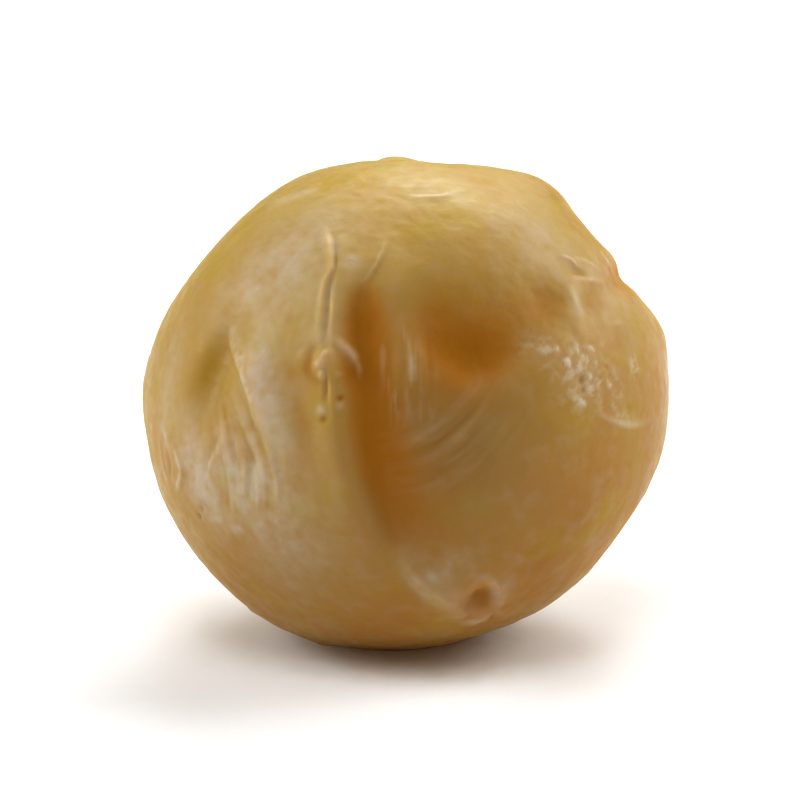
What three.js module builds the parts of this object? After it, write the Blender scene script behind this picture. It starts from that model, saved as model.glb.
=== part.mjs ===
// A shelled macadamia kernel: one whole seed, with its two seed leaves still grown together.
// Millimetres, +Z up. It lies on a small flat spot, with its face, the end that carries the embryo's
// tip, turned to -Y and a little up.
import * as THREE from "three";
import { mergeVertices } from "three/addons/utils/BufferGeometryUtils.js";

// Driving dimensions of the kernel
const WIDTH = 18.5; // from side to side of the face
const HEIGHT = 17.3; // from the top of the face to its foot
const DEPTH = 16.9; // from the face to the back
const LEAN = 16; // degrees that the face looks up
const SPOT_DEPTH = 0.22; // how much the flat spot takes off the round underside

// The grid that the skin is drawn on
const GRID_STEPS = 23; // steps along each edge of the icosahedron
const CROWD = new THREE.Vector3(-0.06, 0.03, 0.4); // which way, and how far, the grid crowds to the tip

const HALF = new THREE.Vector3(WIDTH / 2, HEIGHT / 2, DEPTH / 2);

// Places are points of the plain egg-shaped body, in the face's own frame: x across, y up, z out.
function onBody(across, up, side) {
  const out = Math.sqrt(Math.max(0, 1 - (across / HALF.x) ** 2 - (up / HALF.y) ** 2));
  return new THREE.Vector3(across, up, side * out * HALF.z);
}

const onFace = (across, up) => onBody(across, up, 1);
const onBack = (across, up) => onBody(across, up, -1);
const overFace = (...places) => places.map(([across, up]) => onFace(across, up));

// A place near the outline, so far out towards the face: 0 degrees is the right side, 90 the top.
function onRim(degrees, out = 0) {
  const angle = THREE.MathUtils.degToRad(degrees);
  const narrowed = Math.sqrt(1 - (out / HALF.z) ** 2);
  return new THREE.Vector3(
    Math.cos(angle) * narrowed * HALF.x,
    Math.sin(angle) * narrowed * HALF.y,
    out,
  );
}

// Round swells, with a height above 0, and dents, below 0: where, how wide and how high
const SWELLS = [
  // The outline, anticlockwise from its right side
  { at: onRim(18), width: 1.2, height: 0.21 },
  { at: onRim(27), width: 1.2, height: -0.16 },
  { at: onRim(47), width: 1.2, height: -0.22 },
  { at: onRim(60), width: 1.9, height: 0.42 },
  { at: onRim(84), width: 1.0, height: -0.16 },
  { at: onRim(92), width: 0.6, height: 0.12 },
  { at: onRim(112), width: 1.6, height: 0.14 },
  { at: onRim(143), width: 2.6, height: -0.25 },
  { at: onRim(175), width: 1.4, height: 0.09 },
  { at: onRim(240), width: 3.0, height: 0.25 },
  { at: onRim(252), width: 0.8, height: 0.1 },
  { at: onRim(288), width: 2.2, height: -0.14 },
  { at: onRim(308), width: 1.8, height: -0.1 },
  { at: onRim(327), width: 2.7, height: -0.3 },
  // The face
  { at: onFace(2.4, 1.8), width: 0.9, height: -0.2 }, // the deepest place of the hollow
  { at: onFace(4.9, 3.6), width: 0.9, height: -0.14 }, // its shallow end
  { at: onFace(6.5, 3.4), width: 0.8, height: -0.08 }, // a dimple past that
  { at: onFace(-2.7, 1.4), width: 0.6, height: 0.26 }, // the embryo's tip
  { at: onFace(-0.5, 4.3), width: 1.2, height: 0.16 }, // a cushion above the furrow
  { at: onFace(2.2, -6.3), width: 1.3, height: 0.22 }, // a small crater near the foot
  { at: onFace(2.5, -6.6), width: 0.55, height: -0.34 },
  { at: onFace(5.0, -2.6), width: 3.4, height: 0.22 }, // the right cheek
  { at: onFace(-4.2, -4.2), width: 2.8, height: 0.12 }, // the left cheek
  // The back
  { at: onBack(0.6, -0.4), width: 2.6, height: -0.42 }, // the scar where the seed hung in its shell
  { at: onBack(-4.6, 3.2), width: 2.6, height: -0.3 },
  { at: onBack(4.4, 3.6), width: 3.2, height: -0.22 },
  { at: onBack(3.8, -4.2), width: 2.4, height: 0.2 },
  { at: onBack(-4.4, -3.4), width: 3.0, height: 0.18 },
];

// Long folds, with a height above 0, and furrows, below 0, each along a smooth line. Where the two
// flanks differ, they have their own widths, left and right of the way the line runs.
const FOLDS = [
  // The notch in the outline at the upper right, which runs from the face over to the back
  { line: [onRim(31, 4.6), onRim(32, 2.5), onRim(32), onRim(32, -3.5)], widths: [0.5, 0.5], height: -0.24 },
  // The high middle, and the ridge that runs down through the tip and bends to the right
  { line: overFace([-2.3, 4.8], [-2.65, 1.4], [-2.5, -3.0]), widths: [1.9, 1.9], height: 0.34 },
  { line: overFace([-2.6, 5.6], [-2.55, 4.2], [-2.6, 1.6]), widths: [0.7, 0.7], height: 0.12 },
  {
    line: overFace([-2.45, 1.2], [-2.35, -1.2], [-1.8, -3.4], [-0.8, -6.0]),
    widths: [0.75, 0.75],
    height: 0.2,
  },
  // The furrow right of the ridge
  {
    line: overFace([-1.3, 4.3], [-1.6, 3.4], [-1.65, 2.0], [-1.6, 0.4]),
    widths: [0.95, 0.5],
    height: -0.4,
  },
  {
    line: overFace([-1.6, 1.4], [-1.45, -0.4], [-1.1, -2.3], [-0.45, -4.0], [0.3, -5.6]),
    widths: [1.4, 0.6],
    height: -0.38,
  },
  // A broad valley, the soft groove left of the tip, and the lobe right of the furrow
  { line: overFace([1.1, 3.8], [0.9, 0.5], [1.4, -4.4]), widths: [2.8, 2.8], height: -0.26 },
  { line: overFace([-3.7, 1.6], [-3.35, -0.6], [-2.8, -2.4]), widths: [0.6, 0.6], height: -0.1 },
  { line: overFace([0.0, 2.9], [0.1, 1.0], [0.3, -0.6]), widths: [0.7, 0.7], height: 0.14 },
  // The deep hollow right of the middle, steeper along its lower brim
  {
    line: overFace([0.4, 3.8], [0.9, 2.8], [1.5, 2.0], [2.3, 1.55], [3.3, 1.9], [5.1, 3.2]),
    widths: [2.1, 0.95],
    height: -0.38,
  },
  // The hollow on the left, and the crest along its right side
  {
    line: overFace([-5.9, 3.2], [-6.25, 2.3], [-6.5, 1.6], [-6.8, 0.7], [-6.95, -0.9]),
    widths: [0.8, 0.9],
    height: -0.38,
  },
  { line: overFace([-5.4, 2.6], [-4.8, 0.2], [-4.2, -1.6]), widths: [0.9, 0.9], height: 0.16 },
  // The fold that ends in the crater near the foot
  {
    line: overFace([-0.3, -4.8], [0.2, -5.9], [1.0, -6.65], [2.2, -7.4]),
    widths: [1.2, 0.35],
    height: 0.16,
  },
  // The seam between the two seed leaves, which shows on the back
  {
    line: [onRim(104), onBack(-1.6, 4.6), onBack(0.6, -0.4), onBack(1.9, -5.4), onRim(281)],
    widths: [0.45, 0.45],
    height: -0.12,
  },
];

const LINE_STEP = 0.35; // how close the points of a line stand, as a share of its narrower flank
const SIDE_BLEND = 2.5; // how quickly the width goes from one flank's to the other's

// A fold's smooth line as points on the body. Each point has a strength, which fades out towards the
// ends, and a direction to the left along the skin.
function traced({ line, widths, height }) {
  const curve = new THREE.CatmullRomCurve3(line, false, "centripetal");
  const steps = Math.ceil(curve.getLength() / (LINE_STEP * Math.min(...widths)));
  const points = curve.getSpacedPoints(steps).map((point) => {
    const swollen = point.clone().divide(HALF).length();
    return point.divideScalar(swollen);
  });
  const strengths = points.map((_, i) => Math.sin(Math.PI * (0.01 + (0.98 * i) / steps)) ** 0.7);
  const lefts = points.map((point, i) => {
    const ahead = points[Math.min(steps, i + 1)].clone().sub(points[Math.max(0, i - 1)]);
    return point.clone().divide(HALF).divide(HALF).cross(ahead).normalize();
  });
  return { points, strengths, lefts, widths, height };
}

const LINES = FOLDS.map(traced);

const bell = (distance, width) => Math.exp(-((distance / width) ** 2));

// How strongly a line marks a point of the body, from 0 to 1: the largest of many bells set along it.
function lineMask(point, { points, strengths, lefts, widths }) {
  const distances = points.map((p) => point.distanceTo(p));
  const nearest = distances.indexOf(Math.min(...distances));
  const side = point.clone().sub(points[nearest]).dot(lefts[nearest]);
  const leftness = 0.5 + 0.5 * Math.tanh((SIDE_BLEND * side) / Math.min(...widths));
  const width = THREE.MathUtils.lerp(widths[1], widths[0], leftness);
  return Math.max(...distances.map((distance, i) => strengths[i] * bell(distance, width)));
}

// How far the skin stands above the plain body at a point of it.
function relief(point) {
  let height = 0;
  for (const swell of SWELLS) height += swell.height * bell(point.distanceTo(swell.at), swell.width);
  for (const line of LINES) height += line.height * lineMask(point, line);
  return height;
}

// An even grid of directions over the whole ball, crowded towards the tip.
function skinGrid() {
  const grid = new THREE.IcosahedronGeometry(1, GRID_STEPS - 1);
  grid.deleteAttribute("normal");
  grid.deleteAttribute("uv");
  const merged = mergeVertices(grid, 1e-5);
  const place = merged.getAttribute("position");
  const direction = new THREE.Vector3();
  for (let i = 0; i < place.count; i++) {
    direction.fromBufferAttribute(place, i).add(CROWD).normalize();
    place.setXYZ(i, direction.x, direction.y, direction.z);
  }
  return merged;
}

// The whole kernel, leaning back and standing on its flat spot.
function kernelGeometry() {
  const geometry = skinGrid();
  const place = geometry.getAttribute("position");
  const point = new THREE.Vector3();
  for (let i = 0; i < place.count; i++) {
    point.fromBufferAttribute(place, i).multiply(HALF);
    point.multiplyScalar(1 + relief(point) / point.length());
    place.setXYZ(i, point.x, point.y, point.z);
  }
  geometry.rotateX(Math.PI / 2 - THREE.MathUtils.degToRad(LEAN));
  geometry.computeBoundingBox();
  const { min, max } = geometry.boundingBox;
  geometry.translate(-(min.x + max.x) / 2, -(min.y + max.y) / 2, -min.z - SPOT_DEPTH);
  for (let i = 0; i < place.count; i++) place.setZ(i, Math.max(0, place.getZ(i)));
  geometry.computeVertexNormals();
  return geometry;
}

const creamyTan = new THREE.MeshStandardMaterial({ color: 0xc9a063, roughness: 0.45, metalness: 0 });
const kernel = new THREE.Mesh(kernelGeometry(), creamyTan);
kernel.name = "kernel";

const part = new THREE.Group();
part.add(kernel);

export default part;
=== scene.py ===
# %% [markdown]
# # A shelled macadamia kernel
#
# The kernel is the whole seed of the nut: two fat seed leaves that stay grown together, with the
# embryo's small tip showing on one side. It is all one piece, so it is all one mesh here. The solid
# gives its true size and its main shape. This script gives the same shape a far finer skin, with the
# cracks, wrinkles, chips and dusty scuffs that a real one has, and then flesh that light sinks into.

# %% Load the solid as the frame
import math
import random

import bmesh
import bpy
import numpy as np
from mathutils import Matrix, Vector, noise
from mathutils.bvhtree import BVHTree


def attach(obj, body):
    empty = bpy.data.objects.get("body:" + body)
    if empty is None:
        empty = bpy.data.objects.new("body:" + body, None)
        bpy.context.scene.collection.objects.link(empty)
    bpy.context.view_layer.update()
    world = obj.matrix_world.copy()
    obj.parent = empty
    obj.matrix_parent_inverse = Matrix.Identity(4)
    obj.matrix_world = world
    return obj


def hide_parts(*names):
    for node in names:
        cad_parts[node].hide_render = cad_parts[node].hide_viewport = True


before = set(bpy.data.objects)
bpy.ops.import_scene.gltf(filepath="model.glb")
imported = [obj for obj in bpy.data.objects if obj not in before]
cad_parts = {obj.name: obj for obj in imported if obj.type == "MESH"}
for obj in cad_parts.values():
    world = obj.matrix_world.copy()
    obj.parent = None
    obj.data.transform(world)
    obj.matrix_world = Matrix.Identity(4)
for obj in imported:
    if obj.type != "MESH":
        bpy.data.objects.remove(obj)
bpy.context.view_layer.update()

MM = 0.001  # the frame is in metres, and the sizes below are in millimetres

# %% [markdown]
# ## The size of the kernel
#
# The kernel is a little wider than it is high, and it leans back, so that the side with the tip looks
# forward and a little up. The skin is worked out in the frame of that face: x across, y up, z out.
# The same driving sizes made the solid, so the two fit with nothing to adjust.

# %% Driving sizes, in millimetres
WIDTH = 18.5
HEIGHT = 17.3
DEPTH = 16.9
LEAN = math.radians(16)
SPOT_DEPTH = 0.22  # what the flat spot takes off the round underside
HALF = np.array([WIDTH, HEIGHT, DEPTH]) / 2
print("plain body, in mm:", WIDTH, "x", HEIGHT, "x", DEPTH)

# %% [markdown]
# ## An even skin
#
# A ball made of rings and spokes has a pinched pole, and its faces are uneven. A cube cut into a fine
# grid and then blown up into a ball has no pole and only four-sided faces, so it takes fine relief
# alike everywhere. The grid crowds a little towards the face, where the finest marks are.

# %% Blow a cube up into a ball
CUTS = 127  # across each side of the cube
CROWD = Vector((-0.06, 0.03, 0.4))  # which way, and how far, the grid crowds towards the tip


def ball_of_quads():
    """A mesh of a cube, cut into an even grid, with each point moved out onto a ball of radius 1."""
    ball = bmesh.new()
    bmesh.ops.create_cube(ball, size=2.0)
    bmesh.ops.subdivide_edges(ball, edges=ball.edges[:], cuts=CUTS, use_grid_fill=True)
    for vert in ball.verts:
        even = Vector([math.tan(c * math.pi / 4) for c in vert.co])
        vert.co = (even.normalized() + CROWD).normalized()
    skin_mesh = bpy.data.meshes.new("kernel_skin")
    ball.to_mesh(skin_mesh)
    ball.free()
    return skin_mesh


mesh = ball_of_quads()
SKIN = np.array([vert.co for vert in mesh.vertices]) * HALF
print("skin:", len(mesh.vertices), "points,", len(mesh.polygons) * 2, "triangles")

# %% [markdown]
# ## How a mark is put on the skin
#
# Each bump, dent, fold or crack is a soft-edged mask, from 0 to 1, over all the points of the skin. A
# height in millimetres times the mask raises or sinks the skin there. The same mask can also say where
# the finish is paler or darker. Two kinds of mask do: one along a smooth line, with its own width on
# each side so that one flank can be steep, and one round a place. A mark never ends like a cut wire:
# it fades out at both ends, and its strength wavers along the way. Sculpting by hand would be freer,
# but a mark that is a line of code has a size, and can be moved or deepened at will.

# %% Places on the body
def on_body(across, up, side):
    out = math.sqrt(max(0.0, 1 - (across / HALF[0]) ** 2 - (up / HALF[1]) ** 2))
    return np.array([across, up, side * out * HALF[2]])


def face(across, up):
    return on_body(across, up, 1)


def back(across, up):
    return on_body(across, up, -1)


def rim(degrees, out=0.0):
    """A place near the outline, so far out towards the face: 0 degrees is the right side, 90 the top."""
    angle = math.radians(degrees)
    narrowed = math.sqrt(1 - (out / HALF[2]) ** 2)
    return np.array([math.cos(angle) * narrowed * HALF[0], math.sin(angle) * narrowed * HALF[1], out])


def over_face(*places):
    """Places on the face, for a line."""
    return [face(across, up) for across, up in places]


print("middle of the face, in mm:", face(0, 0))

# %% A smooth line through a few places
def smooth_run(before, start, end, after, step):
    """Points from start to end, on a curve that also heeds the places before and after them."""
    knots = [0.0]
    for a, b in ((before, start), (start, end), (end, after)):
        knots.append(knots[-1] + max(1e-6, np.linalg.norm(b - a)) ** 0.5)
    k0, k1, k2, k3 = knots
    count = max(2, round(np.linalg.norm(end - start) / step))
    t = np.linspace(k1, k2, count, endpoint=False)[:, None]
    a1 = ((k1 - t) * before + (t - k0) * start) / (k1 - k0)
    a2 = ((k2 - t) * start + (t - k1) * end) / (k2 - k1)
    a3 = ((k3 - t) * end + (t - k2) * after) / (k3 - k2)
    b1 = ((k2 - t) * a1 + (t - k0) * a2) / (k2 - k0)
    b2 = ((k3 - t) * a2 + (t - k1) * a3) / (k3 - k1)
    return ((k2 - t) * b1 + (t - k1) * b2) / (k2 - k1)


def smooth_line(places, step):
    """A smooth line through the places, laid back onto the plain body."""
    p = [2 * places[0] - places[1], *places, 2 * places[-1] - places[-2]]
    line = np.vstack([smooth_run(*p[i : i + 4], step) for i in range(len(p) - 3)])
    return line / np.linalg.norm(line / HALF, axis=1)[:, None]


print("points of a line across the face:", len(smooth_line(over_face((-5, 0), (0, 3), (5, 0)), 0.5)))

# %% The points of the skin near a line
BATCH = 1000  # how many points are measured at once


def near_line(line, reach):
    """Goes through the points of the skin near a line, a batch at a time. It gives their numbers, how
    far each is from every point of the line, which of these is the nearest, and how far to the left of
    it the point is, as seen by someone who walks along the line outside the kernel."""
    leftward = np.cross(line / HALF**2, np.gradient(line, axis=0))
    leftward = leftward / np.linalg.norm(leftward, axis=1)[:, None]
    middle = line.mean(axis=0)
    bounds = np.linalg.norm(line - middle, axis=1).max() + reach
    near = np.flatnonzero(np.linalg.norm(SKIN - middle, axis=1) < bounds)
    for some in np.array_split(near, len(near) // BATCH + 1):
        gaps = SKIN[some][:, None, :] - line[None, :, :]
        far = np.linalg.norm(gaps, axis=2)
        nearest = far.argmin(axis=1)
        own = np.arange(len(some))
        side = np.sum(gaps[own, nearest] * leftward[nearest], axis=1)
        yield some, far, nearest, side


nearby = near_line(smooth_line(over_face((-5, 0), (0, 3), (5, 0)), 0.5), 1.0)
print("points near that line:", sum(len(some) for some, *_ in nearby))

# %% A mask along a line
LINE_STEP = 0.35  # how close the points of a line stand, as a share of its narrower flank
SIDE_BLEND = 2.5  # how quickly the width goes from one flank's to the other's
FADED = 3.0  # how many widths away a mark has faded to nothing


def waver(line, seed, amount):
    """Strengths along a line that waver between 1 and 1 - amount, about once a millimetre."""
    length = np.linalg.norm(np.diff(line, axis=0), axis=1).sum()
    steps = np.linspace(0, length, len(line))
    drift = np.array([noise.noise(Vector((1.1 * v, 3.7 * seed, 0.5))) for v in steps])
    return 1 - amount * np.clip(0.5 + 1.2 * drift, 0, 1)


def along(places, left, right=None, broken=0.0):
    """A mask along a smooth line: the largest of many bells set along it. Left and right are its
    widths to each side, and broken is how much its strength wavers."""
    right = left if right is None else right
    narrow = min(left, right)
    line = smooth_line(places, LINE_STEP * narrow)
    strength = np.sin(np.pi * np.linspace(0.01, 0.99, len(line))) ** 0.7  # fades at both ends
    if broken:
        strength *= waver(line, places[0][0] + places[0][1], broken)
    mask = np.zeros(len(SKIN))
    for some, far, _, side in near_line(line, FADED * max(left, right)):
        leftness = 0.5 + 0.5 * np.tanh(SIDE_BLEND * side / narrow)
        width = (right + (left - right) * leftness)[:, None]
        bells = strength * np.exp(-((far / width) ** 2))
        mask[some] = bells.max(axis=1)
    return mask


print("points on a fold of 4 mm:", int((along(over_face((-2, 0), (2, 0)), 0.5) > 0.5).sum()))

# %% A mask round a place
def around(place, width, stretch=1.0, turn=0.0):
    """A mask round a place. It is stretch times as long as it is wide, turned by so many degrees."""
    out = place / HALF**2
    out = out / np.linalg.norm(out)
    right = np.cross([0.0, 1.0, 0.0], out)
    right = right / np.linalg.norm(right)
    up = np.cross(out, right)
    angle = math.radians(turn)
    long_way = math.cos(angle) * right + math.sin(angle) * up
    short_way = math.cos(angle) * up - math.sin(angle) * right
    gap = SKIN - place
    squared = (gap @ long_way / stretch) ** 2 + (gap @ short_way) ** 2 + (gap @ out) ** 2
    return np.exp(-squared / width**2)


def strongest(*masks):
    """At each point of the skin, the strongest of several masks."""
    return np.maximum.reduce(masks)


print("points on a spot of 1 mm:", int((around(face(0, 0), 0.6) > 0.5).sum()))

# %% [markdown]
# ## The main shape
#
# These are the forms that the solid has too: the uneven outline, the ridge and the furrow beside the
# tip, the deep hollow, the full cheeks, the scar on the back and the seam between the seed leaves.
# They come first, with the same sizes, so that everything finer is laid on the same kernel.

# %% The uneven outline, in millimetres
shape = np.zeros(len(SKIN))
shape += 0.21 * around(rim(18), 1.2)
notch = along([rim(31, 4.6), rim(32, 2.5), rim(32, 0.0), rim(32, -3.5)], 0.5)
shape -= 0.24 * notch  # the notch at the upper right
shape -= 0.16 * around(rim(27), 1.2)
shape -= 0.22 * around(rim(47), 1.2)
shape += 0.42 * around(rim(60), 1.9)
shape -= 0.16 * around(rim(84), 1.0)
shape += 0.12 * around(rim(92), 0.6)
shape += 0.14 * around(rim(112), 1.6)
shape -= 0.25 * around(rim(143), 2.6)
shape += 0.09 * around(rim(175), 1.4)
shape += 0.25 * around(rim(240), 3.0)
shape += 0.10 * around(rim(252), 0.8)
shape -= 0.14 * around(rim(288), 2.2)
shape -= 0.10 * around(rim(308), 1.8)
shape -= 0.30 * around(rim(327), 2.7)
print("outline, in mm:", shape.min().round(2), "to", shape.max().round(2))

# %% Swells and dents of the face and the back
shape -= 0.20 * around(face(2.4, 1.8), 0.9)  # the deepest place of the hollow
shape -= 0.14 * around(face(4.9, 3.6), 0.9)  # its shallow end
shape -= 0.08 * around(face(6.5, 3.4), 0.8)  # and a dimple past that
shape += 0.26 * around(face(-2.7, 1.4), 0.6)  # the embryo's tip
shape += 0.16 * around(face(-0.5, 4.3), 1.2)  # a cushion above the furrow
shape += 0.22 * around(face(2.2, -6.3), 1.3)  # a small crater near the foot
shape -= 0.34 * around(face(2.5, -6.6), 0.55)
shape += 0.22 * around(face(5.0, -2.6), 3.4)  # the right cheek
shape += 0.12 * around(face(-4.2, -4.2), 2.8)  # the left cheek
SCAR = back(0.6, -0.4)  # where the seed hung in its shell
shape -= 0.42 * around(SCAR, 2.6)
shape -= 0.30 * around(back(-4.6, 3.2), 2.6)
shape -= 0.22 * around(back(4.4, 3.6), 3.2)
shape += 0.20 * around(back(3.8, -4.2), 2.4)
shape += 0.18 * around(back(-4.4, -3.4), 3.0)
print("swells and dents, in mm:", shape.min().round(2), "to", shape.max().round(2))

# %% The ridge, the furrow beside it and the lobe
shape += 0.34 * along(over_face((-2.3, 4.8), (-2.65, 1.4), (-2.5, -3.0)), 1.9)  # the high middle
shape += 0.12 * along(over_face((-2.6, 5.6), (-2.55, 4.2), (-2.6, 1.6)), 0.7)
shape += 0.20 * along(over_face((-2.45, 1.2), (-2.35, -1.2), (-1.8, -3.4), (-0.8, -6.0)), 0.75)
furrow = 0.40 * along(over_face((-1.3, 4.3), (-1.6, 3.4), (-1.65, 2.0), (-1.6, 0.4)), 0.95, 0.5)
furrow += 0.38 * along(
    over_face((-1.6, 1.4), (-1.45, -0.4), (-1.1, -2.3), (-0.45, -4.0), (0.3, -5.6)), 1.4, 0.6
)
shape -= furrow
shape -= 0.26 * along(over_face((1.1, 3.8), (0.9, 0.5), (1.4, -4.4)), 2.8)  # a broad valley
shape -= 0.10 * along(over_face((-3.7, 1.6), (-3.35, -0.6), (-2.8, -2.4)), 0.6)
shape += 0.14 * along(over_face((0.0, 2.9), (0.1, 1.0), (0.3, -0.6)), 0.7)  # the lobe
print("with the ridge, in mm:", shape.min().round(2), "to", shape.max().round(2))

# %% The two hollows, the fold over the foot and the seam
hollow_dip = along(
    over_face((0.4, 3.8), (0.9, 2.8), (1.5, 2.0), (2.3, 1.55), (3.3, 1.9), (5.1, 3.2)), 2.1, 0.95
)
shape -= 0.38 * hollow_dip
left_hollow = along(over_face((-5.9, 3.2), (-6.25, 2.3), (-6.5, 1.6), (-6.8, 0.7), (-6.95, -0.9)), 0.8, 0.9)
shape -= 0.38 * left_hollow
shape += 0.16 * along(over_face((-5.4, 2.6), (-4.8, 0.2), (-4.2, -1.6)), 0.9)
foot_fold = along(over_face((-0.3, -4.8), (0.2, -5.9), (1.0, -6.65), (2.2, -7.4)), 1.2, 0.35)
shape += 0.16 * foot_fold
SEAM_LINE = [rim(104), back(-1.6, 4.6), SCAR, back(1.9, -5.4), rim(281)]
shape -= 0.12 * along(SEAM_LINE, 0.45)
print("main shape, in mm:", shape.min().round(2), "to", shape.max().round(2))

# %% [markdown]
# ## An uneven skin all over
#
# Even where nothing happened to it, the flesh isn't smooth: it swells and sinks by a few hundredths of
# a millimetre, like the skin of wax. Smooth noise in three sizes gives that. Where the skin has dried
# in folds, the noise is drawn out along a line instead, so that it makes long, uneven strands.

# %% Places on the swollen skin
def seen(across, up):
    """The place of the plain body whose skin, with the main shape on, lies so far across and up."""
    place = face(across, up)
    for _ in range(3):
        nearest = np.linalg.norm(SKIN - place, axis=1).argmin()
        swell = 1 + shape[nearest] / np.linalg.norm(place)
        place = face(across / swell, up / swell)
    return place


def over_skin(*places):
    """Places on the swollen skin, for a line."""
    return [seen(across, up) for across, up in places]


print("the tip is seen at (-2.7, 1.4), from the plain body's", seen(-2.7, 1.4).round(2))

# %% Noise over the skin
def rough(spacing, seed, octaves=1):
    """Noise over the skin, from about -1 to 1, with bumps about so many millimetres apart."""
    away = Vector((17.3, 5.1, 9.7)) * seed  # so that each seed gives other noise
    return np.array([noise.fractal(Vector(p) / spacing + away, 1.0, 2.0, octaves) for p in SKIN])


soft_noise = rough(3.0, 1)
small_noise = rough(0.9, 2, 2)
grain = rough(0.3, 3, 2)
fine = 0.06 * soft_noise + 0.022 * small_noise + 0.009 * grain
print("noise, in mm:", fine.min().round(3), "to", fine.max().round(3))

# %% Noise that is drawn out into strands
STRAND_STEP = 0.06  # how close the points of their line stand
STRAND_LENGTH = 7  # how many times as long as it is wide a strand is


def strands_along(places, reach, spacing, seed):
    """Strands along a smooth line, from about -1 to 1, that fade out at so many millimetres from it."""
    line = smooth_line(places, STRAND_STEP)
    walked = np.append(0, np.cumsum(np.linalg.norm(np.diff(line, axis=0), axis=1)))
    heights = np.zeros(len(SKIN))
    for some, _, nearest, side in near_line(line, 1.6 * reach):  # nothing is left of them further out
        at_ends = np.sin(np.pi * walked[nearest] / walked[-1]).clip(0, 1) ** 0.5
        fade = np.exp(-((side / reach) ** 4)) * at_ends
        where = zip(side / spacing, walked[nearest] / (spacing * STRAND_LENGTH))
        drawn = [noise.fractal(Vector((a, b, seed)), 1.0, 2.0, 2) for a, b in where]
        heights[some] = fade * np.array(drawn)
    return heights


print("a strand 0.4 mm wide is", round(0.4 * STRAND_LENGTH, 1), "mm long")

# %% [markdown]
# ## Fine relief round the tip
#
# The embryo's root tip lies in a crack between the seed leaves. The crack has a thin raised lip on each
# side, and the tip itself is a small knob half under a curled flap of skin. These marks are a tenth of
# a millimetre deep or so, too fine for the solid, but they are what the eye goes to first.

# %% The crack and its lips
crack = strongest(
    along(over_skin((-2.5, 5.9), (-2.44, 5.3), (-2.47, 4.8), (-2.62, 4.3)), 0.09),
    along(
        over_skin((-2.55, 4.6), (-2.64, 4.0), (-2.7, 3.2), (-2.78, 2.5), (-2.92, 1.95)),
        0.075,
        broken=0.4,
    ),
)
left_lip = along(
    over_skin(
        (-2.86, 6.2), (-2.7, 5.4), (-2.6, 4.7), (-2.84, 4.1), (-2.93, 3.3), (-3.0, 2.7), (-2.98, 2.1)
    ),
    0.1,
    0.16,
    broken=0.6,
)
right_lip = along(
    over_skin((-2.45, 4.4), (-2.52, 3.9), (-2.55, 3.1), (-2.58, 2.4), (-2.63, 1.8)),
    0.11,
    0.08,
    broken=0.5,
)
outer_groove = along(over_skin((-2.95, 5.2), (-3.05, 4.2), (-3.15, 3.3), (-3.18, 2.4)), 0.1, 0.2)
fine -= 0.07 * crack
fine += 0.13 * left_lip
fine += 0.09 * right_lip
fine -= 0.02 * outer_groove
print("crack, in mm:", fine.min().round(2), "to", fine.max().round(2))

# %% The knob, its pocket and the lip that runs on below
knob = strongest(
    around(seen(-2.8, 1.72), 0.14, 1.3, 60),
    around(seen(-3.0, 1.36), 0.17),
    around(seen(-2.9, 1.02), 0.13, 1.3, 90),
    0.8 * around(seen(-2.88, 1.4), 0.2, 1.6, 80),
)
pocket = along(over_skin((-3.1, 2.05), (-3.3, 1.6), (-3.36, 1.15), (-3.15, 0.8), (-2.9, 0.65)), 0.15, 0.22)
middle_lip = along(over_skin((-2.6, 2.0), (-2.63, 1.4), (-2.6, 0.8), (-2.56, 0.1), (-2.5, -0.5)), 0.1)
slot = along(over_skin((-2.78, 0.95), (-2.76, 0.55), (-2.78, 0.1)), 0.08)
fine += 0.16 * knob
fine -= 0.13 * pocket
fine += 0.12 * middle_lip
fine -= 0.09 * slot
print("round the tip, in mm:", fine.min().round(2), "to", fine.max().round(2))

# %% The curled flap, the pocket under it and the spots near them
flap = strongest(
    along(over_skin((-2.45, 2.25), (-2.15, 2.05), (-1.85, 1.75), (-1.68, 1.35)), 0.12, 0.26),
    0.6 * along(over_skin((-1.8, 1.7), (-1.64, 1.3), (-1.58, 0.9)), 0.09, 0.12),
)
under_flap = around(seen(-2.05, 1.2), 0.24, 1.9, 95)
spots = around(seen(-2.92, -0.2), 0.18) + 0.8 * around(seen(-2.3, -0.07), 0.13)
spots += 0.7 * around(seen(-2.36, 1.04), 0.1)
nicks = around(seen(-2.3, 0.2), 0.1) + 0.7 * around(seen(-2.85, -0.55), 0.12)
fine += 0.15 * flap
fine -= 0.15 * under_flap
fine += 0.04 * spots
fine -= 0.10 * nicks
print("with the flap, in mm:", fine.min().round(2), "to", fine.max().round(2))

# %% [markdown]
# ## Folds, wrinkles and chips
#
# As a kernel dries in its shell it shrinks a little, and its skin folds where the flesh gives way. The
# folds here run below the left hollow and fan round the deep one. Cracking the shell adds chips: thin
# flakes, often with a sharp edge on one side. A line with one narrow flank and one wide one gives such
# an edge, and small round marks give the rest.

# %% The crest of the left hollow
crest = along(
    over_skin(
        (-6.1, 2.7), (-6.0, 1.9), (-5.75, 1.3), (-5.5, 0.6), (-5.28, 0.0), (-5.1, -0.6), (-4.65, -1.0)
    ),
    0.7,
    0.12,
)
fine += 0.12 * crest
print("with the crest, in mm:", fine.min().round(2), "to", fine.max().round(2))

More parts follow.
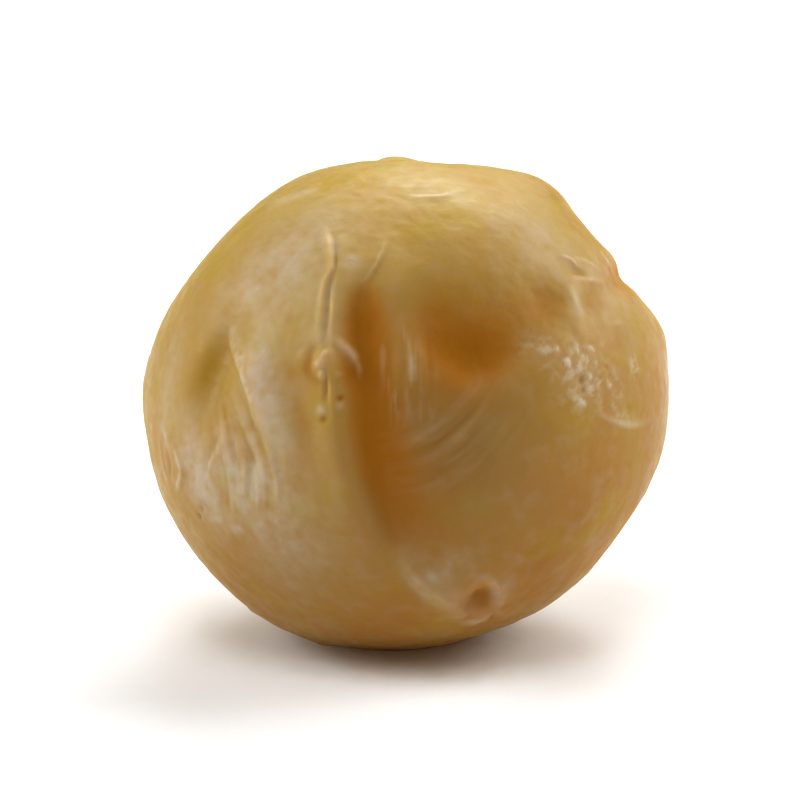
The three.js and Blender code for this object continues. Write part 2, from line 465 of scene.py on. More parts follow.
# %% The folds below it
folds = strands_along(over_skin((-6.2, 0.6), (-5.8, -0.9), (-5.4, -2.4), (-5.3, -4.6)), 1.5, 0.38, 1.5)
strands = strongest(
    along(over_skin((-4.83, -0.9), (-4.8, -2.0), (-4.5, -2.8), (-4.5, -3.7)), 0.28, 0.22, broken=0.3),
    along(over_skin((-5.75, -0.9), (-5.68, -1.7), (-5.6, -2.4), (-5.7, -3.3)), 0.15, broken=0.3),
    along(over_skin((-6.2, -1.0), (-6.4, -1.5), (-6.72, -2.0), (-6.9, -2.8)), 0.18, 0.12, broken=0.3),
    0.6 * along(over_skin((-4.2, -1.5), (-4.1, -2.6), (-4.2, -3.8)), 0.2, broken=0.5),
)
clefts = strongest(
    along(
        over_skin((-5.42, -0.6), (-5.3, -1.5), (-5.33, -2.3), (-5.5, -3.2), (-5.8, -3.8)),
        0.2,
        broken=0.3,
    ),
    0.7 * along(over_skin((-5.95, -0.9), (-5.92, -1.6), (-5.9, -2.4)), 0.1, broken=0.4),
    0.9 * along(over_skin((-6.4, -0.9), (-6.62, -1.4), (-6.85, -1.9), (-6.95, -2.5)), 0.1, 0.16),
    0.5 * along(over_skin((-4.52, -1.4), (-4.42, -2.2), (-4.25, -3.0)), 0.13, broken=0.5),
)
fine += 0.032 * folds
fine += 0.045 * strands
fine -= 0.055 * clefts
print("with the folds, in mm:", fine.min().round(2), "to", fine.max().round(2))

# %% Wrinkles that fan round the deep hollow
for places, depth in (
    (over_skin((-0.7, -1.2), (0.6, -0.9), (1.5, -0.2), (2.0, 0.5)), 0.06),
    (over_skin((-0.5, -1.9), (0.8, -1.4), (1.9, -0.5), (2.6, 0.4)), 0.05),
    (over_skin((0.3, -2.7), (1.3, -2.1), (2.2, -1.2), (3.0, 0.0)), 0.07),
    (over_skin((0.9, -3.5), (1.9, -2.8), (2.8, -1.9), (3.6, -0.6)), 0.04),
    (over_skin((-0.5, 0.0), (0.4, 0.1), (1.1, 0.6), (1.5, 1.1)), 0.04),
):
    fine -= depth * along(places, 0.14, 0.3, broken=0.5)
# Fine strands fan out below the hollow, and upright ones lie between it and the furrow
fan = strands_along(over_skin((-0.9, -2.2), (0.8, -1.8), (2.2, -0.8), (3.4, 0.9)), 1.5, 0.36, 2.5)
wrinkles = strands_along(over_skin((-0.1, 3.0), (0.0, 1.2), (0.1, -0.9)), 0.9, 0.24, 3.5)
fine += 0.05 * fan
fine += 0.045 * wrinkles
print("with the wrinkles, in mm:", fine.min().round(2), "to", fine.max().round(2))

# %% Chips on the left edge
left_chip = around(seen(-8.34, -1.1), 0.22, 1.3, 110)
left_chip += along(over_skin((-8.2, -1.3), (-7.94, -1.8), (-7.8, -2.4), (-8.0, -3.1)), 0.13, broken=0.3)
left_chip += 0.7 * along(over_skin((-8.62, -1.3), (-8.5, -2.0), (-8.3, -2.7)), 0.1)
chip_core = along(over_skin((-8.42, -1.45), (-8.25, -2.0), (-8.2, -2.6)), 0.12, broken=0.5)
specks = around(seen(-7.18, -3.9), 0.1) + around(seen(-7.08, -3.65), 0.08)
fine += 0.07 * left_chip
fine -= 0.09 * chip_core
fine -= 0.08 * specks
print("points of the left chip:", int((left_chip > 0.5).sum()))

# %% Scratches at the top
top_scratch = along(over_skin((-0.2, 7.3), (0.5, 7.2), (1.2, 7.24), (1.8, 7.4)), 0.1, 0.2, broken=0.5)
top_scratch += 0.7 * along(over_skin((-0.4, 7.6), (0.4, 7.55), (1.0, 7.58)), 0.12, broken=0.7)
beaded_crease = along(over_skin((-0.7, 5.7), (-1.05, 4.8), (-1.6, 4.0)), 0.09, broken=0.8)
fine += 0.06 * top_scratch
fine += 0.06 * beaded_crease
print("points of the top scratch:", int((top_scratch > 0.5).sum()))

# %% Chips on the right
flake_lips = along(over_skin((5.2, 5.2), (5.75, 5.0), (6.0, 4.7)), 0.1, broken=0.5)
flake_lips += along(over_skin((5.75, 5.1), (6.3, 4.95), (6.75, 4.65)), 0.1, broken=0.5)
flake_lips += along(over_skin((5.5, 4.32), (6.0, 4.38), (6.5, 4.32), (6.9, 4.2)), 0.1, 0.14, broken=0.3)
flake_dent = around(seen(6.0, 4.6), 0.22, 1.8, -15)
flake_drop = around(seen(5.88, 3.6), 0.24, 2.2, 90)
ledge = along(
    over_skin((6.5, -0.3), (7.0, -0.55), (7.6, -0.72), (8.2, -0.7), (8.6, -0.5)),
    0.16,
    0.1,
    broken=0.5,
)
rim_chip = along(over_skin((8.95, 1.2), (9.05, 0.6), (9.0, -0.2)), 0.12, broken=0.4)
corner_chip = around(seen(7.0, 5.05), 0.34, 1.2, 120) * np.clip(0.5 + 1.5 * grain, 0, 1)
thread = along(over_skin((7.0, 2.72), (7.6, 2.78), (8.2, 2.74)), 0.09, broken=0.3)
fine += 0.07 * flake_lips
fine -= 0.09 * flake_dent
fine += 0.03 * flake_drop
fine += 0.07 * ledge
fine += 0.05 * rim_chip
fine += 0.07 * corner_chip
fine += 0.03 * thread
print("with the chips, in mm:", fine.min().round(2), "to", fine.max().round(2))

# %% The crater near the foot
foot_rim = along(
    over_skin((-0.25, -4.9), (0.05, -5.7), (0.58, -6.3), (1.3, -6.85), (2.2, -7.35)),
    0.3,
    0.13,
    broken=0.4,
)
foot_knob = around(seen(2.4, -7.5), 0.34, 1.2, 50)
foot_nicks = along(over_skin((1.9, -6.85), (2.15, -7.15), (2.1, -7.5)), 0.1)
foot_nicks += along(over_skin((2.9, -7.1), (3.0, -7.4), (2.85, -7.7)), 0.1)
crater = around(seen(2.5, -6.65), 0.5)
crater_lip = along(over_skin((2.3, -5.9), (2.9, -6.05), (3.25, -6.5), (3.3, -7.0)), 0.16, 0.28, broken=0.5)
fine += 0.07 * foot_rim
fine += 0.14 * foot_knob
fine += 0.10 * crater_lip
fine -= 0.07 * crater
fine -= 0.08 * foot_nicks
print("with the crater, in mm:", fine.min().round(2), "to", fine.max().round(2))

# %% [markdown]
# ## Crumbs and dust
#
# Where the shell has rubbed, the flesh has crumbled into a pale crust with dust in it. A few small,
# soft-edged spots say where, and fine noise breaks them up into crumbs. The crumbs are very low: it is
# their chalky colour, laid on by the same mask, that makes them look dry.

# %% The crumbly, dusty patch on the right
crumbs = np.clip(2.2 * rough(0.32, 7, 4) + 0.15, 0, 1)
dusty = strongest(
    around(seen(4.77, 2.1), 0.14),
    around(seen(5.22, 1.88), 0.12),
    0.5 * around(seen(4.7, 1.9), 0.6),
    around(seen(6.0, 1.75), 0.2, 1.8, 95),
    around(seen(6.42, 1.85), 0.18),
    around(seen(5.5, 1.4), 0.22, 1.7, 0),
    around(seen(6.4, 0.95), 0.36, 1.2, 120),
    around(seen(6.66, 0.55), 0.22),
    around(seen(5.98, 0.1), 0.22, 1.6, -25),
    0.7 * around(seen(6.15, 0.9), 1.0),
    0.5 * around(seen(7.1, 0.5), 0.5, 1.8, 100),
    0.6 * around(seen(7.5, -0.5), 0.22, 2.4, 0),
    0.5 * around(seen(7.9, 1.3), 0.3, 1.7, 80),
)
dust = dusty * (0.2 + 0.9 * crumbs)
dust_nicks = around(seen(6.02, 0.8), 0.13, 1.4, 60) + around(seen(6.1, 0.42), 0.12)
dust_nicks += 0.6 * along(over_skin((6.78, 1.35), (7.02, 1.15), (6.95, 0.75)), 0.09)
fine += 0.035 * dusty * (crumbs - 0.4)
fine -= 0.08 * dust_nicks
print("dusty points:", int((dusty > 0.5).sum()))

# %% [markdown]
# ## The back and the sides
#
# The back has marks of its own. The scar, where the seed hung in its shell, is a rough, sunken, toasted
# disc with a low rim and creases that run out from it. The seam between the seed leaves opens there as
# a hairline. And the shell leaves short scratches and shallow pits all round. Nobody would place those
# one by one, so they are strewn by a seeded draw, which gives the same kernel on each run.

# %% The scar
SCAR_WIDTH = 1.3
SPOKES = 13  # creases that run out from it
scar = around(SCAR, SCAR_WIDTH, 1.25, 60)
from_scar = np.sqrt(-np.log(np.maximum(scar, 1e-12)))  # 1 at the width of the scar
scar_rim = np.exp(-(((from_scar - 1.25) / 0.3) ** 2)) * np.clip(0.7 + small_noise, 0, 1)
draw = random.Random(11)  # seeded, so that each run strews the same marks
scar_creases = np.zeros(len(SKIN))
for spoke in range(SPOKES):
    angle = 2 * math.pi * (spoke + draw.uniform(-0.3, 0.3)) / SPOKES
    inner, outer = draw.uniform(1.7, 2.2), draw.uniform(2.8, 4.6)
    last_angle = angle + draw.uniform(-0.2, 0.2)
    bends = [(angle, inner), ((angle + last_angle) / 2, (inner + outer) / 2), (last_angle, outer)]
    spoke_line = [back(SCAR[0] + d * math.cos(a), SCAR[1] + d * math.sin(a)) for a, d in bends]
    scar_creases = np.maximum(scar_creases, along(spoke_line, 0.15, 0.3, broken=0.6))
fine += 0.06 * scar * rough(0.55, 8, 3) + 0.07 * scar_rim
fine -= 0.05 * scar_creases
print("with the scar, in mm:", fine.min().round(2), "to", fine.max().round(2))

# %% The seam
hairline = along(SEAM_LINE, 0.17, broken=0.8)
seam_strands = strands_along([rim(99), back(-1.2, 6.3), back(-1.6, 4.2), back(-0.6, 2.2)], 1.5, 0.42, 5.5)
seam_strands += strands_along([back(1.2, -2.6), back(1.8, -5.0), back(1.7, -7.0)], 1.6, 0.42, 6.5)
fine -= 0.07 * hairline
fine += 0.035 * seam_strands
print("with the seam, in mm:", fine.min().round(2), "to", fine.max().round(2))

# %% Scratches all round
RAISED_SCRATCHES = 26
CUT_SCRATCHES = 14


def strewn_place():
    """A place anywhere behind the outline."""
    out = draw.uniform(-1.0, 0.05)
    angle = draw.uniform(0, 2 * math.pi)
    level = math.sqrt(1 - out**2)
    return np.array([math.cos(angle) * level, math.sin(angle) * level, out]) * HALF


def strewn_scratch():
    """A mask along a short, bent scratch in any direction."""
    middle = strewn_place()
    heading = np.cross(middle, [draw.gauss(0, 1) for _ in range(3)])
    heading = heading / np.linalg.norm(heading)
    bend = np.cross(heading, middle) / np.linalg.norm(middle) * draw.uniform(-0.3, 0.3)
    half = heading * draw.uniform(0.4, 1.3)
    return along([middle - half, middle + bend, middle + half], 0.14, draw.uniform(0.16, 0.3), broken=0.6)


raised = strongest(*[strewn_scratch() for _ in range(RAISED_SCRATCHES)])
cut = strongest(*[strewn_scratch() for _ in range(CUT_SCRATCHES)])
fine += 0.05 * raised
fine -= 0.05 * cut
print("scratched points:", int((raised + cut > 0.5).sum()))

# %% Pits and scuffs all round
PITS = 26
SCUFFS = 16
pits = np.zeros(len(SKIN))
for _ in range(PITS):
    pits += around(strewn_place(), draw.uniform(0.14, 0.3), draw.uniform(1, 1.9), draw.uniform(0, 180))
worn = np.zeros(len(SKIN))
for _ in range(SCUFFS):
    patch = around(strewn_place(), draw.uniform(0.5, 1.3), draw.uniform(1.3, 2.6), draw.uniform(0, 180))
    worn = np.maximum(worn, patch)
fine -= 0.06 * pits
print("pitted points:", int((pits > 0.5).sum()), "scuffed points:", int((worn > 0.5).sum()))

# %% [markdown]
# ## From heights to a mesh
#
# Now each point moves in or out by its height. The face is then turned up by its lean, and the kernel
# is set down just as the solid was: by its main shape alone, so that no fine bump can lift it. What
# would reach below the floor is pressed flat, which makes the small flat spot it rests on.

# %% Stand the kernel up and set it down
def stand_up(points):
    """Turns points from the face's frame into the frame of the kernel as it lies."""
    turn = math.pi / 2 - LEAN
    y = points[:, 1] * math.cos(turn) - points[:, 2] * math.sin(turn)
    z = points[:, 1] * math.sin(turn) + points[:, 2] * math.cos(turn)
    return np.column_stack([points[:, 0], y, z])


relief = shape + fine
from_middle = np.linalg.norm(SKIN, axis=1)
plain = stand_up(SKIN * (1 + shape / from_middle)[:, None])
low, high = plain.min(axis=0), plain.max(axis=0)
drop = np.array([(low[0] + high[0]) / 2, (low[1] + high[1]) / 2, low[2] + SPOT_DEPTH])
skin = stand_up(SKIN * (1 + relief / from_middle)[:, None]) - drop
skin[:, 2] = np.maximum(skin[:, 2], 0)
print("skin, in mm:", (skin.max(axis=0) - skin.min(axis=0)).round(2))

# %% Put the mesh together
mesh.vertices.foreach_set("co", (skin * MM).astype(np.float32).ravel())
mesh.update()
mesh.shade_smooth()
kernel = bpy.data.objects.new("kernel_skin", mesh)
bpy.context.scene.collection.objects.link(kernel)
print("points pressed flat on the floor:", int((skin[:, 2] == 0).sum()))

# %% [markdown]
# ## Does it fit the solid?
#
# The skin takes the solid's place, so it has to lie on it. The distance from each point to the nearest
# face of the solid says how well it does: no more than the fine relief and the solid's coarser facets.

# %% How far the skin is from the solid
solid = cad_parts["kernel"]
solid_faces = BVHTree.FromPolygons(
    [v.co for v in solid.data.vertices], [p.vertices for p in solid.data.polygons]
)
off_solid = [solid_faces.find_nearest(v.co)[3] for v in mesh.vertices]
print("furthest from the solid, in mm:", round(max(off_solid) / MM, 3))

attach(kernel, "root")
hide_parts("kernel")

# %% [markdown]
# ## Where the flesh is darker or paler
#
# Light sinks into the flesh and comes back out amber where it has far to go, so creases and hollows
# look much deeper in colour than they are. Here that is painted into the colour, as painted shade: the
# depth of each point below its own neighbourhood says where, that is the relief, blurred over the mesh,
# less the relief itself. Scuffed and dusty places are paler, and some slopes that face the lamps are
# paler too, as painted sheen. The kernel is painted darker and tanner towards its lower right, as
# painted shade. Each of these is a mask that is kept on the mesh's points as an attribute, because the
# finish can read it from there.

# %% Blur over the mesh
ends = np.empty(len(mesh.edges) * 2, dtype=np.int32)
mesh.edges.foreach_get("vertices", ends)
starts, stops = ends[0::2], ends[1::2]
neighbours = np.bincount(ends, minlength=len(SKIN))


def blurred(values, rounds):
    """Values on the points, averaged with their neighbours' so many times."""
    for _ in range(rounds):
        total = np.bincount(starts, values[stops], len(values))
        total += np.bincount(stops, values[starts], len(values))
        values = 0.5 * values + 0.5 * total / neighbours
    return values


print("neighbours of a point:", neighbours.min(), "to", neighbours.max())

# %% How deep each point lies
FINE_BLUR = 12  # rounds, for narrow creases
WIDE_BLUR = 700  # rounds, for hollows a few millimetres wide
CREASE_DEPTH = 0.06  # a crease so deep has its full colour
PIT_DEPTH = 0.35  # and so has a hollow so deep
# Painted shade: the deeper a point lies below its neighbours, the deeper its painted amber
crease_shade = (blurred(relief, FINE_BLUR) - relief) / CREASE_DEPTH
pit = (blurred(relief, WIDE_BLUR) - relief) / PIT_DEPTH
print("crease:", np.percentile(crease_shade, [1, 50, 99]).round(2))
print("pit:", np.percentile(pit, [1, 50, 99]).round(2))

# %% Deep amber places: painted shade, with the scar and the seam
SOFTENING = 30  # rounds of blur, so that no patch has an edge
patchy = np.clip(0.85 + 0.5 * small_noise + 0.3 * grain + 0.45 * folds, 0, 1.2)
behind = SKIN[:, 2] < 0
# Painted shade in the furrow, strongest towards its top
fading = np.clip(1.0 + 0.24 * (SKIN[:, 1] + 0.6), 0.25, 1)  # the furrow is deepest in colour above
upper_end = np.clip((5.3 - SKIN[:, 1]) / 2.4, 0, 1)
in_furrow = 1.6 * upper_end * fading * (furrow / furrow.max()) ** 1.7
# Painted shade: amber where the flesh lies below its neighbours, weaker on the back and in the left hollow
hollow_shade_and_scar = np.clip(1.1 * pit, 0, 1) * np.where(behind, 0.5, 1.0) - 0.9 * left_hollow
# More painted shade in and round the deep hollow, below the lobe and in the crater
hollow_shade_and_scar += 0.6 * around(seen(2.3, 1.7), 0.7, 1.6, 10)  # the deep hollow
hollow_shade_and_scar += 0.5 * around(seen(1.7, 2.4), 1.3, 1.5, 10)
hollow_shade_and_scar += 0.45 * around(seen(1.9, 0.8), 1.0, 1.4, 20)
hollow_shade_and_scar += 0.3 * around(seen(1.2, 1.8), 0.6)
hollow_shade_and_scar += 0.2 * around(seen(0.6, -3.0), 1.7, 1.4, 110)  # below the lobe
hollow_shade_and_scar += 0.8 * around(seen(2.5, -6.6), 0.65)  # the crater
# Painted shade in pits and cut scratches
hollow_shade_and_scar += 0.5 * np.clip(pits, 0, 1) + 0.5 * cut
# The scar's own toasted colour and the seam's dark hairline are real marks; the creases round the scar are
# painted shade
hollow_shade_and_scar += 0.6 * scar * patchy + 0.7 * hairline + 0.4 * scar_creases
# Painted shade in the furrow, the pocket, under the flap and in the nicks
hollow_shade_and_scar = blurred(hollow_shade_and_scar, SOFTENING) + in_furrow + 0.3 * pocket + 0.6 * under_flap + 0.4 * nicks
hollow_shade_and_scar = 1 - np.exp(-2.0 * np.clip(hollow_shade_and_scar, 0, None))  # levels off, however deep
print("hollow, on average:", hollow_shade_and_scar.mean().round(2))

# %% Painted shade: greenish in hollows, dull in the broad valley, darker towards the lower right
# Painted shade, greenish, in the left hollow and in the dents round the deep hollow
olive_shade = along(over_skin((-6.1, 2.8), (-6.4, 2.0), (-6.85, 1.1), (-7.25, 0.1), (-7.4, -0.6)), 0.45, 0.6)
olive_shade = np.maximum(olive_shade, 0.5 * around(seen(-6.3, 0.3), 0.8, 1.6, 95))
olive_shade += 0.3 * around(seen(4.9, 3.6), 0.6, 1.5, -5)  # the shallow end of the deep hollow
olive_shade += 0.6 * around(seen(6.4, 3.55), 0.4, 1.3, 90)  # the dimple past it
olive_shade += 0.35 * around(seen(1.8, 3.7), 1.2, 1.5, 0)  # above the deep hollow
# Painted shade, greyish brown, in the broad valley and at the low end of the furrow
dull_shade = 0.75 * around(face(1.1, -1.4), 2.4, 1.5, 75)  # the broad valley
dull_shade = np.maximum(dull_shade, 0.8 * around(seen(-0.6, -3.2), 0.9, 2.0, 112))
# Darker and tanner towards the lower right, as painted shade, with tone that differs at random on top of it
tan_and_lower_shade = 0.5 + (0.35 * SKIN[:, 0] - 0.8 * SKIN[:, 1]) / 14 + 0.25 * rough(4.0, 4)
print("toasted, on average:", tan_and_lower_shade.mean().round(2))

# %% Pale scuffs on both sides, with painted sheen on slopes that face the lamps
left_scuffs_and_sheen = strongest(
    # Partly painted sheen: the left slopes face a lamp and are painted paler
    0.9 * around(seen(-5.3, -2.7), 1.9, 1.4, 105),  # below the left hollow
    1.1 * around(seen(-7.2, -2.4), 1.1, 1.8, 100),
    0.6 * around(seen(-4.2, -4.6), 1.7, 1.2, 60),
    0.8 * around(seen(-6.6, -4.0), 0.3, 1.8, 0),
    0.7 * around(seen(-5.84, -4.35), 0.3, 1.8, 0),
    0.9 * around(seen(-4.85, 0.3), 0.9, 3.0, 103),  # between the left hollow and the ridge
    0.5 * along(over_skin((-7.6, 3.2), (-8.3, 0.4), (-8.2, -3.0)), 0.6),
    crest * np.clip(0.75 + 0.6 * grain, 0, 1),
    0.7 * strands,
    0.9 * np.clip(left_chip, 0, 1),
)
right_scuffs_and_sheen = strongest(
    dust,
    corner_chip,
    0.9 * rim_chip,
    0.7 * ledge,
    0.9 * flake_lips,
    0.6 * flake_drop,
    # Painted light on the upper right, where the lamps fall
    0.35 * around(seen(7.0, 4.0), 1.5, 1.6, 100),
    0.4 * around(seen(4.6, 5.9), 1.5, 1.4, 145),
)
print("scuffed points, left:", int((left_scuffs_and_sheen > 0.5).sum()), "right:", int((right_scuffs_and_sheen > 0.5).sum()))

# %% Pale scuffs from the top to the foot, and behind, with painted light at the upper left
top_scuffs_and_sheen = strongest(
    0.8 * top_scratch,
    0.5 * beaded_crease,
    0.7 * around(seen(-3.8, 7.3), 0.4, 2.0, 30),
    # Painted light on the upper left, where the lamps fall
    0.7 * around(seen(-4.2, 5.0), 1.9, 1.5, 60),
)
middle_scuffs = strongest(
    np.clip(wrinkles, 0, 1),
    0.3 * np.clip(fan, 0, 1),
    0.7 * around(seen(-1.95, 4.9), 0.4),
    0.4 * around(seen(-2.75, 3.2), 0.5, 4.0, 95),
    0.8 * knob,
    0.7 * flap,
    0.45 * left_lip,
    0.4 * right_lip,
    0.6 * np.clip(spots, 0, 1),
)
foot_scuffs = strongest(
    0.9 * crater_lip,
    0.7 * foot_knob,
    0.7 * foot_rim,
    0.4 * foot_fold,
    0.7 * around(seen(3.3, -6.5), 0.35, 1.8, 100),
    0.6 * around(seen(0.95, -6.0), 0.3, 1.6, 130),
    0.5 * around(seen(1.5, -5.7), 0.6, 1.3, 20),
)
back_scuffs = strongest(0.8 * raised, 0.7 * worn, 0.6 * scar_rim, 0.4 * np.clip(seam_strands, 0, 1))
scuffs_and_sheen = strongest(left_scuffs_and_sheen, right_scuffs_and_sheen, top_scuffs_and_sheen, middle_scuffs, foot_scuffs, back_scuffs)
# Pale: real scuffs and dust, plus painted sheen and light where slopes face the lamps
pale = np.clip(scuffs_and_sheen * patchy - np.clip(-0.25 * folds, 0, 1), 0, 1)
print("pale, on average:", pale.mean().round(2))

# %% Keep the masks on the mesh
# Of these, the hollow, crease, olive and dull masks are painted shade, the tan one is painted shade towards
# the lower right with random tone, and the pale one is partly painted sheen
MASKS = {
    "hollow_shade_and_scar": hollow_shade_and_scar,
    # Painted shade in narrow creases, weaker where the flesh is pale
    "crease_shade": 0.5 * crease_shade * (1 - 0.8 * pale),  # a chalky crease shows less
    "olive_shade": olive_shade,
    "dull_shade": dull_shade,
    "dust": 0.85 * dust,
    "tan_and_lower_shade": tan_and_lower_shade,
    "pale": pale,
}
for name, values in MASKS.items():
    mask = mesh.attributes.new(name, "FLOAT", "POINT")
    mask.data.foreach_set("value", np.clip(values, 0, 1).astype(np.float32))
print("masks on the mesh:", ", ".join(MASKS))

# %% [markdown]
# ## The waxy flesh
#
# The flesh is dense and oily. It isn't clear and it isn't painted: light goes in, turns amber on its way
# and comes out a millimetre off, which is what subsurface scattering does. Red light goes furthest. The
# colours are laid over each other from the widest to the finest, each by noise or by one of the masks.

# %% Small helpers for the finish
def attribute(tree, name):
    """One of the masks on the mesh."""
    node = tree.nodes.new("ShaderNodeAttribute")
    node.attribute_name = name
    return node.outputs["Fac"]


def tint(tree, where, below, colour):
    """Lays a colour over the one below it, by a mask."""
    mix = tree.nodes.new("ShaderNodeMix")
    mix.data_type = "RGBA"
    tree.links.new(where, mix.inputs["Factor"])
    if isinstance(below, tuple):
        mix.inputs["A"].default_value = (*below, 1)
    else:
        tree.links.new(below, mix.inputs["A"])
    mix.inputs["B"].default_value = (*colour, 1)
    return mix.outputs["Result"]


def spread(tree, value, low, high, to_low=0.0, to_high=1.0):
    """Stretches a value from one range to another, and stops it at the ends."""
    ranged = tree.nodes.new("ShaderNodeMapRange")
    tree.links.new(value, ranged.inputs["Value"])
    for name, number in (("From Min", low), ("From Max", high), ("To Min", to_low), ("To Max", to_high)):
        ranged.inputs[name].default_value = number
    return ranged.outputs["Result"]


def speckle(tree, spacing, detail=2.0):
    """Noise with blotches about so many millimetres apart, from 0 to 1."""
    place = tree.nodes.new("ShaderNodeTexCoord")
    blotches = tree.nodes.new("ShaderNodeTexNoise")
    blotches.inputs["Scale"].default_value = 1 / (spacing * MM)
    blotches.inputs["Detail"].default_value = detail
    tree.links.new(place.outputs["Object"], blotches.inputs["Vector"])
    return blotches.outputs["Fac"]


# %% The colours of the flesh
CREAM = (0.42, 0.302, 0.092)
TAN = (0.40, 0.210, 0.045)
YELLOW = (0.41, 0.295, 0.035)
OLIVE_SHADE = (0.33, 0.195, 0.012)
AMBER = (0.380, 0.153, 0.0)
CHALK = (0.49, 0.402, 0.290)
DULL_SHADE = (0.30, 0.205, 0.085)
ROSY = (0.44, 0.255, 0.120)
DUST = (0.53, 0.44, 0.32)
BLOTCHES = [  # their size, the noise at which they start and are full, their strength and colour
    (2.2, 0.5, 0.75, 0.6, YELLOW),
    (0.9, 0.5, 0.9, 0.3, CHALK),
    (0.45, 0.5, 0.8, 0.3, ROSY),
]
# The amber, olive and dull layers are painted shade (the amber one also gives the scar its own colour), and
# chalk over the pale mask is partly painted sheen
LAYERS = {"dull_shade": DULL_SHADE, "olive_shade": OLIVE_SHADE, "hollow_shade_and_scar": AMBER, "crease_shade": AMBER, "pale": CHALK, "dust": DUST}


def flesh_colour(tree):
    """Cream to tan (painted shade at the lower right), then blotches, then one colour per mask."""
    colour = tint(tree, attribute(tree, "tan_and_lower_shade"), CREAM, TAN)
    for spacing, start, full, strength, tone in BLOTCHES:
        colour = tint(tree, spread(tree, speckle(tree, spacing), start, full, 0, strength), colour, tone)
    for name, tone in LAYERS.items():
        colour = tint(tree, attribute(tree, name), colour, tone)
    return colour


print("colours laid over the cream:", 1 + len(BLOTCHES) + len(LAYERS))

# %% The gloss and the grain of the flesh
HOLLOW_DULLNESS = 0.3  # how much rougher the hollows are
GRAIN_SPACING = 0.12
GRAIN_HEIGHT = 0.02


def flesh_roughness(tree):
    """Waxy, in blotches of half a millimetre, and duller in the hollows."""
    waxy = spread(tree, speckle(tree, 0.5), 0.3, 0.7, 0.36, 0.54)
    duller = tree.nodes.new("ShaderNodeMath")
    duller.operation = "MULTIPLY_ADD"
    tree.links.new(attribute(tree, "hollow_shade_and_scar"), duller.inputs[0])
    duller.inputs[1].default_value = HOLLOW_DULLNESS
    tree.links.new(waxy, duller.inputs[2])
    return duller.outputs["Value"]


def flesh_grain(tree):
    """Bumps too fine for the mesh, up to three times as high on scuffs and painted sheen."""
    height = tree.nodes.new("ShaderNodeMath")
    height.operation = "MULTIPLY"
    tree.links.new(speckle(tree, GRAIN_SPACING, 4.0), height.inputs[0])
    tree.links.new(spread(tree, attribute(tree, "pale"), 0.2, 1.0, 1.0, 3.0), height.inputs[1])
    bump = tree.nodes.new("ShaderNodeBump")
    bump.inputs["Strength"].default_value = 0.35
    bump.inputs["Distance"].default_value = GRAIN_HEIGHT * MM
    tree.links.new(height.outputs["Value"], bump.inputs["Height"])
    return bump.outputs["Normal"]


print("grain:", GRAIN_SPACING, "mm apart and", GRAIN_HEIGHT, "mm high")

# %% The flesh
def flesh():
    """Waxy flesh. Red light goes a millimetre into it, green less than half of that and blue least."""
    mat = bpy.data.materials.new("nut_flesh")
    mat.use_nodes = True
    tree = mat.node_tree
    shader = tree.nodes["Principled BSDF"]
    tree.links.new(flesh_colour(tree), shader.inputs["Base Color"])
    tree.links.new(flesh_roughness(tree), shader.inputs["Roughness"])
    tree.links.new(flesh_grain(tree), shader.inputs["Normal"])
    shader.inputs["Specular IOR Level"].default_value = 0.2
    shader.inputs["Subsurface Weight"].default_value = 0.7
    shader.inputs["Subsurface Radius"].default_value = (1.0, 0.42, 0.12)
    shader.inputs["Subsurface Scale"].default_value = 1.0 * MM
    return mat


kernel.data.materials.append(flesh())
print("nodes in the flesh:", len(kernel.data.materials[0].node_tree.nodes))

# %% [markdown]
# ## The floor
#
# A wide sheet of pale, matt paper gives plain ground and takes the shadow. Light spreads a little
# inside it, as it does in real white board, so the shadow right under the kernel isn't quite black. It
# isn't part of the kernel.

# %% A sheet of pale paper
FLOOR_HALF = 1500  # from the sheet's middle to each edge
PAPER = (0.85, 0.85, 0.85, 1)
PAPER_GLOW = 8.0  # how far light spreads inside it


def pale_floor():
    edge = FLOOR_HALF * MM
    corners = [(-edge, -edge, 0), (edge, -edge, 0), (edge, edge, 0), (-edge, edge, 0)]
    sheet = bpy.data.meshes.new("floor")
    sheet.from_pydata(corners, [], [(0, 1, 2, 3)])
    paper = bpy.data.materials.new("white_paper")
    paper.use_nodes = True
    shader = paper.node_tree.nodes["Principled BSDF"]
    shader.subsurface_method = "BURLEY"
    shader.inputs["Base Color"].default_value = PAPER
    shader.inputs["Roughness"].default_value = 0.9
    shader.inputs["Subsurface Weight"].default_value = 0.8
    shader.inputs["Subsurface Radius"].default_value = (1.0, 0.8, 0.65)
    shader.inputs["Subsurface Scale"].default_value = PAPER_GLOW * MM
    sheet.materials.append(paper)
    floor = bpy.data.objects.new("floor", sheet)
    bpy.context.scene.collection.objects.link(floor)
    return floor


pale_floor()
print("floor, in metres:", 2 * FLOOR_HALF * MM, "square")

# %% [markdown]
# ## Plain, soft light
#
# Four wide lamps stand half a metre off: one at each side, one behind and one high in front. The two at
# the sides graze the skin, which is what shows its relief. The one behind gives the top its pale sheen,
# and the weak one in front keeps the hollows from going black.

# %% Four soft lamps
MIDDLE = Vector(-drop) * MM  # the middle of the plain body, as the kernel lies
LAMP_SIZE = 260
LAMP_AWAY = 500
LAMPS = {  # degrees round from the front, degrees up, and watts
    "left": (-91, 32, 1.8),
    "right": (106, 33, 2.05),
    "behind": (170, 45, 1.75),
    "front": (-9, 60, 1.38),
}


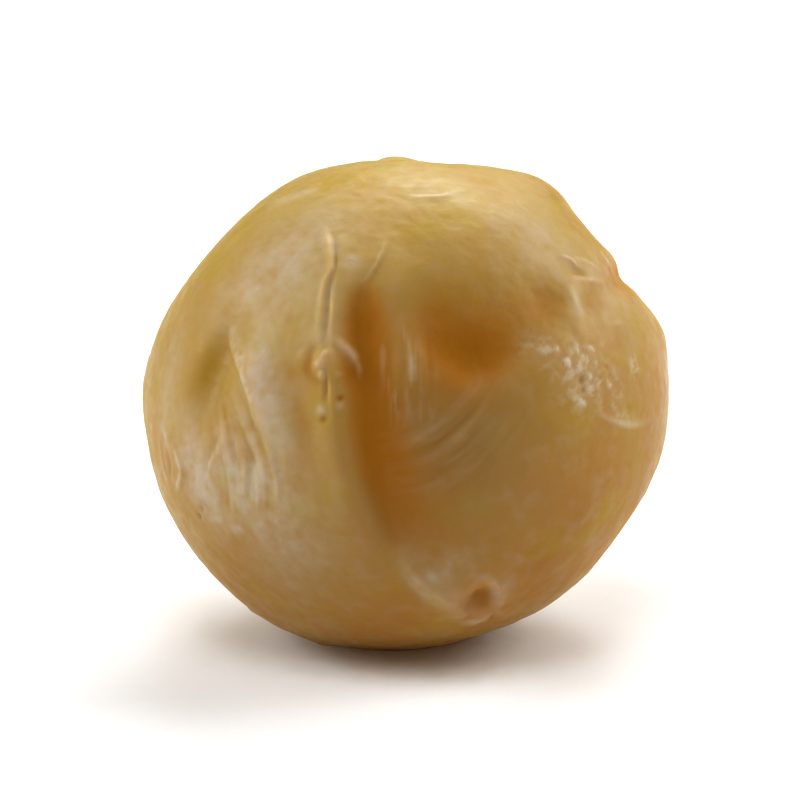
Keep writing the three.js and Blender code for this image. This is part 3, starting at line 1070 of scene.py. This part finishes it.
def soft_lamp(name, azimuth, elevation, watts):
    """A square lamp that looks at the middle of the kernel."""
    round_it, up = math.radians(azimuth), math.radians(elevation)
    level = math.cos(up)
    way = Vector((math.sin(round_it) * level, -math.cos(round_it) * level, math.sin(up)))
    lamp = bpy.data.lights.new(name, "AREA")
    lamp.size = LAMP_SIZE * MM
    lamp.energy = watts
    light = bpy.data.objects.new(name, lamp)
    light.location = MIDDLE + way * LAMP_AWAY * MM
    light.rotation_euler = (-way).to_track_quat("-Z", "Y").to_euler()
    bpy.context.scene.collection.objects.link(light)


for name, numbers in LAMPS.items():
    soft_lamp(name, *numbers)
print("lamps:", ", ".join(LAMPS))

# %% The room and the look of the picture
ROOM_LIGHT = 0.04  # a trace of light from all round
LOOK_GAMMA = 0.8  # deepens the tones between black and white
world = bpy.data.worlds.new("studio")
world.use_nodes = True
world.node_tree.nodes["Background"].inputs["Color"].default_value = (1, 1, 1, 1)
world.node_tree.nodes["Background"].inputs["Strength"].default_value = ROOM_LIGHT
bpy.context.scene.world = world
bpy.context.scene.view_settings.view_transform = "Standard"
bpy.context.scene.view_settings.gamma = LOOK_GAMMA
print("room light:", ROOM_LIGHT, "gamma:", LOOK_GAMMA)

# %% [markdown]
# ## The camera
#
# The camera looks straight at the face, so it stands as many degrees above the floor as the face leans
# back. It is 30 cm off, near enough for a little perspective, and the lens is worked out from how wide
# the view has to be there.

# %% A camera that faces the tip
CAMERA_AWAY = 300
VIEW_WIDTH = 28.5  # how much the picture spans across the kernel
AIM = MIDDLE + Vector((-0.07, 0, -0.02)) * MM  # the middle of what is seen of it


def face_camera():
    camera_data = bpy.data.cameras.new("camera")
    camera_data.lens = camera_data.sensor_width * CAMERA_AWAY / VIEW_WIDTH
    camera_data.clip_start = 10 * MM
    camera = bpy.data.objects.new("camera", camera_data)
    toward = Vector((0, -math.cos(LEAN), math.sin(LEAN)))
    camera.location = AIM + toward * CAMERA_AWAY * MM
    camera.rotation_euler = (-toward).to_track_quat("-Z", "Y").to_euler()
    bpy.context.scene.collection.objects.link(camera)
    return camera


bpy.context.scene.camera = face_camera()
print("lens, in mm:", round(bpy.context.scene.camera.data.lens))
